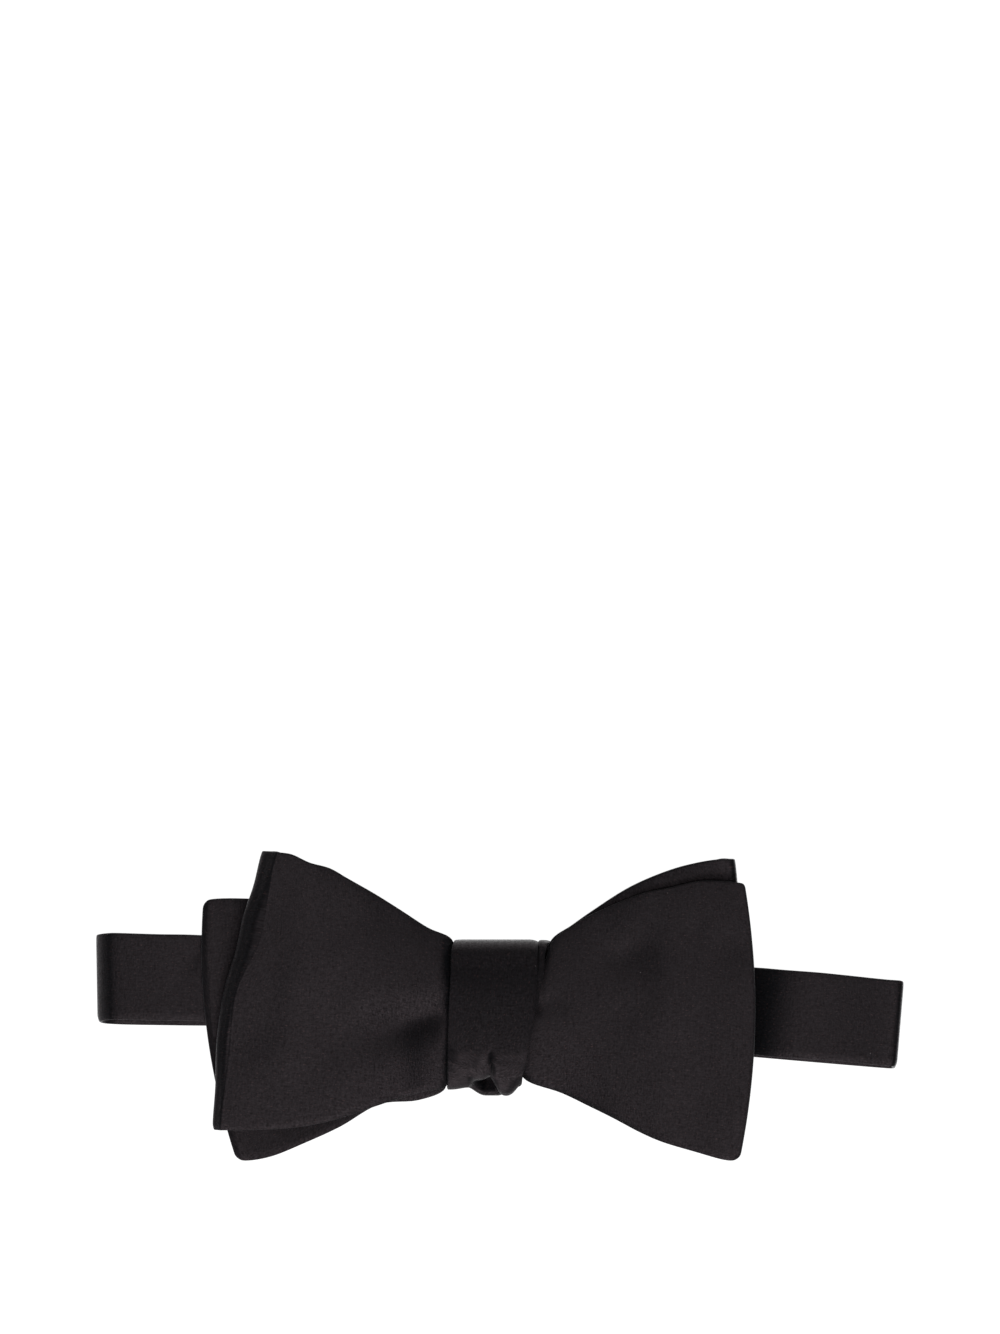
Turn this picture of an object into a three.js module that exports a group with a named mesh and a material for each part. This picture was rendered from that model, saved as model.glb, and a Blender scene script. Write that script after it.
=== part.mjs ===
// A self-tie bow tie of black silk, tied and laid on its back, in millimetres.
// +X is to the right of the bow, +Y towards its top, +Z out of its front. The band's back run lies on z = 0.
import * as THREE from "three";

// Cloth
const BLADE_CLOTH = 1.4; // two layers of silk and their interlining
const WRAP_CLOTH = 1.4;
const BAND_CLOTH = 1.6;
const GAP = 0.3; // least space between two layers
const SILK = { color: 0x28252a, roughness: 0.62, metalness: 0 };

// Resolution: how many steps a piece has from one section to the next, and from its top edge to its bottom edge
const BLADE_STEPS = 2;
const BLADE_ACROSS = 11;
const WRAP_ACROSS = 16;
const BAND_STEPS = 2;
const BAND_ACROSS = 3;
const TANGENT_STEP = 1e-3; // part of a strip's length or width over which its direction is measured
const FULL_TURN = 360; // degrees

// Sections across the front blade, each from its top edge over its middle to its bottom edge.
const FRONT_BLADE_RIGHT = [
  { top: [61.3, 30.7, 19.3], middle: [63.9, -3.7, 20.8], bottom: [60.1, -38.2, 18.2] },
  { top: [59.0, 31.1, 19.2], middle: [61.4, -3.6, 20.7], bottom: [57.2, -38.4, 18.1] },
  { top: [50.2, 31.4, 18.8], middle: [51.5, -2.4, 20.3], bottom: [48.8, -36.2, 17.8] },
  { top: [42.8, 29.8, 18.3], middle: [42.2, -1.8, 19.9], bottom: [40.2, -33.6, 17.5] },
  { top: [36.5, 28.5, 17.9], middle: [36.0, -1.5, 19.5], bottom: [34.8, -31.2, 17.3] },
  { top: [30.2, 26.2, 17.4], middle: [29.5, -1.0, 19.0], bottom: [28.6, -27.9, 17.0] },
  { top: [25.2, 24.0, 17.0], middle: [23.8, -0.6, 18.5], bottom: [22.5, -24.9, 16.7] },
  { top: [19.0, 20.8, 16.5], middle: [17.5, -0.8, 18.0], bottom: [15.6, -21.6, 16.3] },
  { top: [14.0, 16.7, 16.1], middle: [11.2, -1.4, 17.7], bottom: [7.2, -18.7, 16.1] },
  { top: [11.7, 11.6, 15.8], middle: [8.6, -1.8, 17.5], bottom: [4.8, -16.4, 15.8] },
];
const FRONT_BLADE_WAIST = [
  { top: [6.5, 11.4, 15.8], middle: [3.0, -1.4, 17.3], bottom: [1.5, -13.0, 15.8] },
  { top: [-3.0, 11.2, 15.8], middle: [-3.6, -1.2, 17.3], bottom: [-4.0, -12.6, 15.8] },
];
const FRONT_BLADE_LEFT = [
  { top: [-11.2, 12.2, 15.8], middle: [-11.4, -2.0, 17.4], bottom: [-11.6, -17.0, 15.8] },
  { top: [-12.4, 16.2, 15.9], middle: [-13.4, -1.8, 18.2], bottom: [-13.6, -20.2, 16.4] },
  { top: [-17.8, 19.4, 16.4], middle: [-17.9, -1.0, 18.4], bottom: [-18.0, -21.1, 16.4] },
  { top: [-24.5, 23.8, 17.2], middle: [-24.0, 0.3, 18.0], bottom: [-23.6, -22.6, 15.7] },
  { top: [-31.0, 27.8, 18.2], middle: [-30.2, 1.5, 18.2], bottom: [-29.8, -24.6, 15.5] },
  { top: [-37.8, 31.6, 19.1], middle: [-37.5, 2.0, 18.3], bottom: [-37.4, -27.2, 15.2] },
  { top: [-42.2, 34.2, 19.7], middle: [-43.0, 2.5, 18.2], bottom: [-44.6, -29.2, 14.9] },
  { top: [-47.2, 36.0, 20.2], middle: [-49.8, 3.0, 18.0], bottom: [-52.2, -30.4, 14.7] },
  { top: [-51.8, 38.1, 20.5], middle: [-58.0, 3.5, 17.7], bottom: [-62.2, -30.9, 14.6] },
  { top: [-55.2, 38.6, 20.5], middle: [-65.8, 4.0, 17.4], bottom: [-69.6, -31.0, 14.6] },
];
const FRONT_BLADE_BEHIND = [
  { top: [-55.2, 38.6, 13.9], middle: [-65.8, 4.0, 13.2], bottom: [-69.6, -31.0, 11.8] },
  { top: [-47.5, 35.0, 13.8], middle: [-50.0, 3.0, 13.7], bottom: [-52.4, -29.8, 12.1] },
  { top: [-38.0, 30.2, 13.8], middle: [-37.8, 2.0, 14.0], bottom: [-37.5, -26.4, 12.6] },
  { top: [-25.0, 22.6, 13.8], middle: [-24.5, 0.3, 14.3], bottom: [-24.0, -22.0, 13.2] },
  { top: [-14.0, 15.4, 13.8], middle: [-14.0, -2.2, 14.5], bottom: [-14.2, -19.6, 13.8] },
  { top: [-10.8, 12.4, 13.9], middle: [-10.8, -2.4, 14.8], bottom: [-11.0, -17.8, 13.9] },
  { top: [-3.0, 12.2, 14.1], middle: [-3.0, -1.2, 15.3], bottom: [-3.0, -12.8, 14.1] },
  { top: [5.0, 12.2, 14.1], middle: [3.0, -1.4, 15.4], bottom: [0.5, -12.8, 14.2] },
];

// Sections across the rear blade, in the same way.
const REAR_BLADE_LEFT = [
  { top: [-74.0, 26.4, 10.5], middle: [-73.1, -6.2, 10.7], bottom: [-65.8, -38.4, 9.2] },
  { top: [-71.8, 27.1, 10.5], middle: [-70.8, -5.8, 10.7], bottom: [-63.4, -38.8, 9.2] },
  { top: [-62.2, 27.2, 10.5], middle: [-60.2, -4.8, 10.8], bottom: [-57.2, -37.8, 9.3] },
  { top: [-52.2, 25.8, 10.6], middle: [-50.2, -4.0, 10.9], bottom: [-48.5, -34.3, 9.6] },
  { top: [-42.2, 23.5, 10.8], middle: [-41.0, -3.3, 11.1], bottom: [-39.8, -30.3, 10.0] },
  { top: [-31.0, 20.2, 11.1], middle: [-30.5, -2.5, 11.5], bottom: [-29.8, -24.6, 10.6] },
  { top: [-21.0, 17.0, 11.5], middle: [-20.5, -2.3, 12.1], bottom: [-20.2, -23.6, 11.3] },
  { top: [-14.0, 14.8, 11.9], middle: [-14.0, -2.5, 12.7], bottom: [-13.8, -21.1, 11.9] },
  { top: [-10.8, 12.6, 12.1], middle: [-11.4, -2.6, 12.9], bottom: [-12.4, -17.9, 12.1] },
];
const REAR_BLADE_WAIST = [{ top: [-3.0, 12.6, 12.3], middle: [-3.0, -1.0, 13.4], bottom: [-3.0, -13.0, 12.3] }];
const REAR_BLADE_RIGHT = [
  { top: [12.4, 12.0, 12.4], middle: [8.6, -1.8, 13.6], bottom: [4.8, -16.4, 12.3] },
  { top: [13.5, 16.8, 12.7], middle: [11.2, -1.4, 14.0], bottom: [8.0, -18.0, 12.6] },
  { top: [18.0, 20.2, 13.3], middle: [16.2, -0.9, 14.5], bottom: [14.4, -20.2, 13.0] },
  { top: [23.2, 23.9, 14.0], middle: [22.0, -0.5, 15.3], bottom: [20.6, -22.8, 13.5] },
  { top: [32.8, 30.0, 15.0], middle: [31.5, 0.0, 16.4], bottom: [30.2, -27.4, 14.2] },
  { top: [42.8, 34.2, 15.8], middle: [42.2, 0.8, 17.3], bottom: [41.5, -32.0, 14.7] },
  { top: [50.2, 36.1, 16.3], middle: [51.5, 1.5, 17.7], bottom: [49.0, -34.8, 14.9] },
  { top: [55.2, 36.8, 16.4], middle: [58.2, 1.5, 17.6], bottom: [54.8, -35.8, 14.8] },
];
const REAR_BLADE_BEHIND = [
  { top: [55.2, 36.8, 11.4], middle: [58.2, 1.5, 11.2], bottom: [54.8, -35.8, 10.4] },
  { top: [42.8, 32.6, 11.4], middle: [42.2, 0.8, 11.3], bottom: [41.5, -31.0, 10.4] },
  { top: [28.0, 25.6, 11.1], middle: [27.0, 0.0, 11.4], bottom: [26.0, -24.8, 10.5] },
  { top: [15.2, 15.6, 10.9], middle: [14.0, -1.6, 11.6], bottom: [12.6, -19.0, 10.7] },
  { top: [11.4, 10.6, 10.8], middle: [9.4, -2.0, 11.6], bottom: [7.6, -16.6, 10.7] },
  { top: [2.5, 9.6, 10.9], middle: [1.0, -1.6, 11.5], bottom: [0.0, -12.8, 10.8] },
  { top: [-7.0, 9.6, 10.9], middle: [-7.0, -1.6, 11.4], bottom: [-7.0, -13.2, 10.8] },
];

// Sections across the neck band's two runs, from its left end to its right end.
const BAND_FRONT_RUN = [
  { top: [-96.1, 18.2, 8.4], bottom: [-95.7, -3.5, 8.4] },
  { top: [-86.0, 17.9, 8.4], bottom: [-86.0, -3.7, 8.4] },
  { top: [-74.0, 17.6, 8.5], bottom: [-74.4, -3.9, 8.5] },
  { top: [-55.0, 15.4, 8.6], bottom: [-56.6, -6.0, 8.6] },
  { top: [-30.0, 11.6, 8.9], bottom: [-32.0, -9.8, 8.9] },
  { top: [-12.0, 9.3, 9.1], bottom: [-12.6, -12.1, 9.1] },
  { top: [8.0, 9.2, 9.1], bottom: [8.0, -12.2, 9.1] },
  { top: [24.0, 9.7, 8.8], bottom: [23.6, -11.7, 8.8] },
  { top: [40.0, 10.0, 6.2], bottom: [39.4, -11.4, 6.2] },
  { top: [51.0, 9.9, 3.6], bottom: [50.4, -11.5, 3.6] },
  { top: [60.0, 9.7, 2.9], bottom: [59.2, -11.7, 2.9] },
  { top: [65.0, 9.4, 3.4], bottom: [64.2, -12.0, 3.4] },
  { top: [69.0, 9.1, 6.0], bottom: [68.0, -12.3, 6.0] },
  { top: [73.0, 8.8, 8.0], bottom: [72.0, -12.6, 8.0] },
  { top: [78.0, 8.4, 8.5], bottom: [76.8, -13.0, 8.5] },
  { top: [86.0, 7.7, 8.2], bottom: [84.6, -13.8, 8.2] },
  { top: [97.0, 6.5, 7.5], bottom: [95.2, -14.9, 7.5] },
];
const BAND_BACK_RUN = [
  { top: [97.0, 5.8, 0.8], bottom: [95.2, -15.6, 0.8] },
  { top: [80.0, 7.4, 0.8], bottom: [78.6, -14.0, 0.8] },
  { top: [40.0, 10.4, 0.8], bottom: [38.6, -11.0, 0.8] },
  { top: [0.0, 13.2, 0.8], bottom: [-1.4, -8.3, 0.8] },
  { top: [-40.0, 15.8, 0.8], bottom: [-41.0, -5.7, 0.8] },
  { top: [-80.0, 17.0, 0.8], bottom: [-80.4, -4.6, 0.8] },
  { top: [-96.1, 17.2, 0.8], bottom: [-95.7, -4.5, 0.8] },
];

// The way each fold's half-turn bulges, as a direction in the plane of the bow.
const LEFT_FOLD_OUT = [-1, 0.06];
const RIGHT_FOLD_OUT = [1, 0];
const BAND_LEFT_OUT = [-1, 0];
const BAND_RIGHT_OUT = [1, -0.07];
// Where a half-turn has a section: how far out and how far up from its centre, as shares of its radius.
// A creased one slopes down from a crease at its upper end.
const ROUND_TURN = [
  [0.59, 0.81],
  [0.95, 0.31],
  [0.95, -0.31],
  [0.59, -0.81],
];
const CREASED_TURN = [
  [0.2, 0.88],
  [0.62, 0.42],
  [0.98, -0.1],
  [0.74, -0.74],
];
const CREASE_RADIUS = { none: 1.2, full: 2.6 }; // millimetres: a tighter half-turn can't be creased
const CREASE_FROM = 0.7; // share of the way to the crease up to which the upper layer stays straight

// Pleats in the front blade's front layer: creases from one place to another, that deep at the start and
// none at the end, and that wide to each side. A negative depth is a ridge.
const FRONT_PLEATS = [
  { from: [-13.5, -3], to: [-34, 0], depth: 1.2, width: 2.2 },
  { from: [-12, 2.5], to: [-38, 4], depth: -0.5, width: 3 },
  { from: [-12, -8], to: [-44, -17], depth: 0.8, width: 4 },
  { from: [-14.5, 11], to: [-23, 9], depth: 0.7, width: 2.8 },
  { from: [9, -1], to: [24, -2], depth: 0.5, width: 1.6 },
  { from: [36, 12], to: [48, 15], depth: 0.5, width: 7 },
  { from: [-14, -11], to: [-28, -13], depth: -1.0, width: 5 },
];

// Where the front blade's outline is drawn aside: the place, how far the pull reaches, and the pull itself
const FRONT_PULLS = [
  { at: [-61, 30], reach: 6, pull: [1.1, 0] },
  { at: [-70.5, -20], reach: 8, pull: [0.6, 0] },
];

// The knot's wrap: an oval spiral round both waists, seen from the side as height along Y and depth along Z.
const KNOT = { y: -2.7, z: 13.4, halfHeight: 16.4, halfDepth: 5.7, frontSquareness: 3, backSquareness: 5 };
const WRAP_PITCH = WRAP_CLOTH + GAP; // how much further out each turn lies
const WRAP_START = 95; // degrees from the knot's top towards its front
// Where the wrap has sections, in degrees of travel from its hidden start: close ones round the knot's foot
const WRAP_ROWS = [
  { until: 240, step: 12 },
  { until: 338, step: 4.5 },
  { until: 475, step: 12 },
];
// How wide the wrap is along its way
const WRAP_WIDTHS = [
  { travel: 0, left: -9.0, right: 8.9 },
  { travel: 20, left: -9.8, right: 9.9 },
  { travel: 45, left: -10.6, right: 11.3 },
  { travel: 95, left: -11.2, right: 12.5 },
  { travel: 185, left: -11.0, right: 11.0 },
  { travel: 235, left: -12.4, right: 5.8 },
  { travel: 275, left: -13.0, right: 4.7 },
  { travel: 313, left: -12.9, right: 5.7 },
  { travel: 335, left: -12.8, right: 7.2 },
  { travel: 365, left: -12.5, right: 8.9 },
  { travel: 410, left: -12.0, right: 9.6 },
  { travel: 455, left: -11.3, right: 9.8 },
  { travel: 475, left: -11.0, right: 9.6 },
];
// Where the wrap's cloth is pushed in towards the knot's middle: how far round and along it, how far it
// reaches, and how deep. A negative depth stands out.
const WRAP_DENTS = [
  { travel: 326, x: -1.0, reach: 12, width: 1.0, depth: 0.9 }, // the pleat
  { travel: 290, x: 2.0, reach: 24, width: 2.4, depth: -1.4 }, // the lobe beside it
  { travel: 282, x: 6.2, reach: 28, width: 2.3, depth: 3.2 }, // the lobe's drawn-in right side
  { travel: 275, x: -7.2, reach: 45, width: 3.2, depth: 1.5 }, // the bottom edge, which rises towards the pocket
];
// At the pleat's foot the cloth folds under into a pocket. This is its profile there, at equal steps of
// travel from behind the knot, over the pocket's lip and floor, to the front.
const POCKET_PROFILE = [
  { y: -18.6, z: 7.7 },
  { y: -19.6, z: 8.3 },
  { y: -20.7, z: 9.4 },
  { y: -21.6, z: 10.9 },
  { y: -21.5, z: 12.4 },
  { y: -20.2, z: 12.3 },
  { y: -18.5, z: 10.9 },
  { y: -16.7, z: 9.8 },
  { y: -15.2, z: 10.0 },
  { y: -14.8, z: 11.6 },
  { y: -15.7, z: 13.9 },
  { y: -17.0, z: 16.2 },
  { y: -16.6, z: 18.2 },
  { y: -14.8, z: 19.4 },
  { y: -12.6, z: 20.2 },
];
// Where the pocket starts and ends, in degrees of travel, and over how many it comes and goes. Along X it
// comes in at its left and goes out at its right, which leans by so much for each degree from the middle.
const POCKET = {
  starts: 236,
  ends: 341,
  fade: 12,
  left: [-8.6, -2.8],
  right: [-2.2, 1.2],
  middle: 290,
  lean: -0.04,
};
// The inner turn's right edge lies beside the outer turn and nearly as far out: where along X it rises and
// by how much, and in which part of its travel
const INNER_EDGE = { from: 9.7, to: 10.9, rise: 1.4, starts: 20, full: 75, falls: 115, ends: 160 };

const point = (p) => new THREE.Vector3(...p);
const bell = (distance) => Math.exp(-distance * distance);

// A section whose middle is halfway between its edges where its row gives none.
function section(row) {
  const top = point(row.top);
  const bottom = point(row.bottom);
  const middle = row.middle ? point(row.middle) : top.clone().lerp(bottom, 0.5);
  return [top, middle, bottom];
}

// The sections of a fold's half-turn, from the end of an upper layer to the start of the lower one.
function halfTurn(upper, lower, direction, creased) {
  const outward = new THREE.Vector3(direction[0], direction[1], 0).normalize();
  return ROUND_TURN.map((round, row) =>
    upper.map((high, i) => {
      const centre = high.clone().add(lower[i]).multiplyScalar(0.5);
      const radius = high.clone().sub(centre);
      const reach = radius.length();
      const part = creased ? THREE.MathUtils.smoothstep(reach, CREASE_RADIUS.none, CREASE_RADIUS.full) : 0;
      const out = THREE.MathUtils.lerp(round[0], CREASED_TURN[row][0], part);
      const up = THREE.MathUtils.lerp(round[1], CREASED_TURN[row][1], part);
      return centre.addScaledVector(radius, up).addScaledVector(outward, reach * out);
    }),
  );
}

// The section that keeps an upper layer straight up to the crease at its end.
function beforeCrease(previous, crease) {
  return previous.map((from, i) => from.clone().lerp(crease[i], CREASE_FROM));
}

// The middle surface of a strip: along runs from its first section to its last, across from its top edge to
// its bottom edge.
function surface(sections, closed, shape) {
  const lines = [0, 1, 2].map(
    (i) => new THREE.CatmullRomCurve3(sections.map((s) => s[i]), closed, "centripetal"),
  );
  return (along, across) => {
    const [top, middle, bottom] = lines.map((line) => line.getPoint(along));
    const place = top.multiplyScalar((1 - across) * (1 - 2 * across));
    place.addScaledVector(middle, 4 * across * (1 - across));
    place.addScaledVector(bottom, across * (2 * across - 1));
    return shape ? shape(place, along) : place;
  };
}

// Which way the strip's front faces, and which way is across it, at one place.
function directions(at, along, across) {
  const before = Math.max(along - TANGENT_STEP, 0);
  const after = Math.min(along + TANGENT_STEP, 1);
  const above = Math.max(across - TANGENT_STEP, 0);
  const below = Math.min(across + TANGENT_STEP, 1);
  const forward = at(after, across).sub(at(before, across));
  const down = at(along, below).sub(at(along, above)).normalize();
  return { face: forward.cross(down).normalize(), down };
}

// The corner points round one section of the cloth: its front, its bottom edge, its back and its top edge.
function ring(at, along, across, cloth) {
  const half = cloth / 2;
  const width = at(along, 0).distanceTo(at(along, 1));
  const front = [];
  const back = [];
  for (let i = 0; i <= across; i++) {
    const v = THREE.MathUtils.lerp(half / width, 1 - half / width, i / across);
    const { face } = directions(at, along, v);
    front.push(at(along, v).addScaledVector(face, half));
    back.unshift(at(along, v).addScaledVector(face, -half));
  }
  return [...front, at(along, 1), ...back, at(along, 0)];
}

// The places along a strip that has so many steps from each section to the next.
function evenly(sections, steps, closed) {
  const spans = closed ? sections.length : sections.length - 1;
  const count = spans * steps + (closed ? 0 : 1);
  return Array.from({ length: count }, (_, i) => i / (spans * steps));
}

// A strip of cloth as one closed solid, with a ring of corners at each of the places along it.
function clothSolid(name, at, places, { closed, across, cloth }) {
  const rings = places.map((along) => ring(at, along, across, cloth));
  const around = rings[0].length;
  const faces = [];
  const quad = (a, b, c, d) => faces.push(a, c, b, a, d, c);
  const last = rings.length - 1;
  for (let i = 0; i < (closed ? rings.length : last); i++) {
    const here = i * around;
    const next = ((i + 1) % rings.length) * around;
    for (let j = 0; j < around; j++) {
      const k = (j + 1) % around;
      quad(here + j, here + k, next + k, next + j);
    }
  }
  if (!closed) {
    const capEnd = (base, flip) => {
      const tip = (a, b, c) => (flip ? faces.push(a, b, c) : faces.push(a, c, b));
      for (let j = 0; j < across; j++) {
        const a = base + j;
        const c = base + 2 * across + 1 - j;
        tip(a, c + 1, c);
        tip(a, c, a + 1);
      }
      tip(base + across, base + across + 2, base + across + 1);
      tip(base, base + around - 1, base + around - 2);
    };
    capEnd(0, false);
    capEnd(last * around, true);
  }
  const geometry = new THREE.BufferGeometry().setFromPoints(rings.flat());
  geometry.setIndex(faces);
  geometry.computeVertexNormals();
  const mesh = new THREE.Mesh(geometry, new THREE.MeshStandardMaterial(SILK));
  mesh.name = name;
  return mesh;
}

// How far a pleat pushes the cloth back at one place.
function pleatDepth({ from, to, depth, width }, x, y) {
  const run = [to[0] - from[0], to[1] - from[1]];
  const length = Math.hypot(...run);
  const along = ((x - from[0]) * run[0] + (y - from[1]) * run[1]) / length;
  const aside = ((x - from[0]) * run[1] - (y - from[1]) * run[0]) / length;
  const part = THREE.MathUtils.clamp(along / length, 0, 1);
  const fade = along < 0 ? bell(along / width) : 1 - THREE.MathUtils.smoothstep(part, 0, 1);
  return depth * fade * bell(aside / (width * (1 + part)));
}

function frontBlade() {
  const right = FRONT_BLADE_RIGHT.map(section);
  const left = FRONT_BLADE_LEFT.map(section);
  const behind = FRONT_BLADE_BEHIND.map(section);
  left.splice(-1, 0, beforeCrease(...left.slice(-2)));
  const front = [...right, ...FRONT_BLADE_WAIST.map(section), ...left];
  const turn = halfTurn(left.at(-1), behind[0], LEFT_FOLD_OUT, true);
  const sections = [...front, ...turn, ...behind];
  const frontEnds = (front.length - 1) / (sections.length - 1);
  const shape = (place, along) => {
    if (along <= frontEnds) {
      for (const pleat of FRONT_PLEATS) {
        place.z -= pleatDepth(pleat, place.x, place.y);
      }
    }
    for (const { at, reach, pull } of FRONT_PULLS) {
      const near = bell(Math.hypot(place.x - at[0], place.y - at[1]) / reach);
      place.x += pull[0] * near;
      place.y += pull[1] * near;
    }
    return place;
  };
  const make = { across: BLADE_ACROSS, cloth: BLADE_CLOTH };
  return clothSolid("front_blade", surface(sections, false, shape), evenly(sections, BLADE_STEPS), make);
}

function rearBlade() {
  const right = REAR_BLADE_RIGHT.map(section);
  const behind = REAR_BLADE_BEHIND.map(section);
  const front = [...REAR_BLADE_LEFT.map(section), ...REAR_BLADE_WAIST.map(section), ...right];
  const turn = halfTurn(right.at(-1), behind[0], RIGHT_FOLD_OUT, false);
  const sections = [...front, ...turn, ...behind];
  const make = { across: BLADE_ACROSS, cloth: BLADE_CLOTH };
  return clothSolid("rear_blade", surface(sections, false), evenly(sections, BLADE_STEPS), make);
}

function neckBand() {
  const front = BAND_FRONT_RUN.map(section);
  const back = BAND_BACK_RUN.map(section);
  const rightEnd = halfTurn(front.at(-1), back[0], BAND_RIGHT_OUT, false);
  const leftEnd = halfTurn(front[0], back.at(-1), BAND_LEFT_OUT, true).reverse();
  front.splice(1, 0, beforeCrease(front[1], front[0]));
  const sections = [...front, ...rightEnd, ...back, ...leftEnd];
  const shape = (place) => {
    place.z = Math.max(place.z, BAND_CLOTH / 2);
    return place;
  };
  const make = { closed: true, across: BAND_ACROSS, cloth: BAND_CLOTH };
  return clothSolid("neck_band", surface(sections, true, shape), evenly(sections, BAND_STEPS, true), make);
}

// The wrap's way round the knot: a point of the oval at an angle from its top, moved outwards.
function ovalPoint(degrees, outwards) {
  const angle = THREE.MathUtils.degToRad(degrees);
  const up = Math.cos(angle);
  const out = Math.sin(angle);
  const power = out > 0 ? KNOT.frontSquareness : KNOT.backSquareness;
  const size = (Math.abs(up) ** power + Math.abs(out) ** power) ** (1 / power);
  return {
    y: KNOT.y + ((KNOT.halfHeight + outwards) * up) / size,
    z: KNOT.z + ((KNOT.halfDepth + outwards) * out) / size,
  };
}

// The wrap's left and right edge after so many degrees of travel.
function wrapWidth(travel) {
  const after = Math.max(1, WRAP_WIDTHS.findIndex((row) => row.travel >= travel));
  const [a, b] = [WRAP_WIDTHS[after - 1], WRAP_WIDTHS[after]];
  const part = THREE.MathUtils.smoothstep(travel, a.travel, b.travel);
  return {
    left: THREE.MathUtils.lerp(a.left, b.left, part),
    right: THREE.MathUtils.lerp(a.right, b.right, part),
  };
}

// How far the inner turn's edge stands out beside the outer turn.
function innerEdgeRise(x, travel) {
  const { from, to, rise, starts, full, falls, ends } = INNER_EDGE;
  const when = THREE.MathUtils.smoothstep(travel, starts, full) - THREE.MathUtils.smoothstep(travel, falls, ends);
  return rise * when * THREE.MathUtils.smoothstep(x, from, to);
}

// The degrees of travel at which the wrap has sections.
function wrapTravels() {
  const travels = [0];
  for (const { until, step } of WRAP_ROWS) {
    const from = travels.at(-1);
    const count = Math.round((until - from) / step);
    for (let i = 1; i <= count; i++) {
      travels.push(THREE.MathUtils.lerp(from, until, i / count));
    }
  }
  return travels;
}

// How much of the pocket there is at one place of the wrap, from none to all of it.
function pocketShare(x, travel) {
  const { starts, ends, fade, left, right, middle, lean } = POCKET;
  const { smoothstep } = THREE.MathUtils;
  const round = smoothstep(travel, starts, starts + fade) * (1 - smoothstep(travel, ends - fade, ends));
  const shifted = x - lean * (travel - middle);
  return round * smoothstep(x, left[0], left[1]) * (1 - smoothstep(shifted, right[0], right[1]));
}

function knotWrap() {
  const travels = wrapTravels();
  const travelled = travels.at(-1);
  const profile = POCKET_PROFILE.map(({ y, z }) => new THREE.Vector3(0, y, z));
  const pocket = new THREE.CatmullRomCurve3(profile, false, "centripetal");
  const at = (along, across) => {
    const travel = along * travelled;
    const { left, right } = wrapWidth(travel);
    const x = THREE.MathUtils.lerp(left, right, across);
    const { y, z } = ovalPoint(WRAP_START - travel, (WRAP_PITCH * travel) / FULL_TURN);
    const place = new THREE.Vector3(x, y, z);
    const outward = new THREE.Vector3(0, y - KNOT.y, z - KNOT.z).normalize();
    for (const dent of WRAP_DENTS) {
      const share = bell((travel - dent.travel) / dent.reach) * bell((x - dent.x) / dent.width);
      place.addScaledVector(outward, -dent.depth * share);
    }
    place.addScaledVector(outward, innerEdgeRise(x, travel));
    const part = THREE.MathUtils.clamp((travel - POCKET.starts) / (POCKET.ends - POCKET.starts), 0, 1);
    return place.lerp(pocket.getPoint(part).setX(x), pocketShare(x, travel));
  };
  const places = travels.map((travel) => travel / travelled);
  return clothSolid("knot_wrap", at, places, { across: WRAP_ACROSS, cloth: WRAP_CLOTH });
}

const bowTie = new THREE.Group();
bowTie.add(frontBlade(), rearBlade(), knotWrap(), neckBand());

export default bowTie;
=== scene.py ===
import math

import bpy
import numpy as np
from bpy.props import FloatProperty, FloatVectorProperty, PointerProperty
from bpy.types import Operator, Panel, PropertyGroup
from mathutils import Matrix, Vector


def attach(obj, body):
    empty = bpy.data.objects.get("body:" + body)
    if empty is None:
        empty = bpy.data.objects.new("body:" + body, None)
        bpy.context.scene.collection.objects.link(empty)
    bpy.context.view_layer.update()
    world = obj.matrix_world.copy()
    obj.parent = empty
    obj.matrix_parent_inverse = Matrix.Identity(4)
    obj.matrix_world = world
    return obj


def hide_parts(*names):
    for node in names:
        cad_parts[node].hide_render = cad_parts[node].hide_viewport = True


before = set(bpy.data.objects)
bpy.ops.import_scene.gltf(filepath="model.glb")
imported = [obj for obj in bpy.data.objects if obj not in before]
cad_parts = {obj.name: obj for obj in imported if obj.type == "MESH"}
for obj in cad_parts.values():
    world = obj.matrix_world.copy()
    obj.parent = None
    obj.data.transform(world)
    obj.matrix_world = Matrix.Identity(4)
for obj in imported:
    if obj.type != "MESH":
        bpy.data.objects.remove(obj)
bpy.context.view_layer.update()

bl_info = {
    "name": "Self-tie bow tie",
    "version": (1, 0, 0),
    "blender": (4, 5, 0),
    "location": "3D View > Sidebar > Bow tie",
    "description": "A tied silk bow tie lying on its back, made of its four stretches of cloth",
    "category": "Add Mesh",
}

MM = 0.001
BODY = "root"

# Each row is one section across the cloth: the places of its top edge, its middle and its bottom edge,
# as x, y and z in millimetres.
FRONT_BLADE_RIGHT = [
    ((61.3, 30.7, 19.0), (63.9, -3.7, 20.1), (60.1, -38.2, 18.2)),
    ((59.0, 31.1, 18.9), (61.4, -3.6, 20.0), (57.2, -38.4, 18.1)),
    ((50.2, 31.4, 18.6), (51.5, -2.4, 19.7), (48.8, -36.2, 17.8)),
    ((42.8, 29.8, 18.2), (42.2, -1.8, 19.4), (40.2, -33.6, 17.5)),
    ((36.5, 28.5, 17.9), (36.0, -1.5, 19.1), (34.8, -31.2, 17.3)),
    ((30.2, 26.2, 17.4), (29.5, -1.0, 18.7), (28.6, -27.9, 17.0)),
    ((25.2, 24.0, 17.0), (23.8, -0.6, 18.3), (22.5, -24.9, 16.7)),
    ((19.0, 20.8, 16.5), (17.5, -0.8, 18.0), (15.6, -21.6, 16.3)),
    ((13.7, 16.5, 16.1), (11.2, -1.4, 17.7), (7.2, -18.7, 16.1)),
    ((11.7, 11.6, 15.8), (8.6, -1.8, 17.5), (4.8, -16.4, 15.8)),
]
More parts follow.
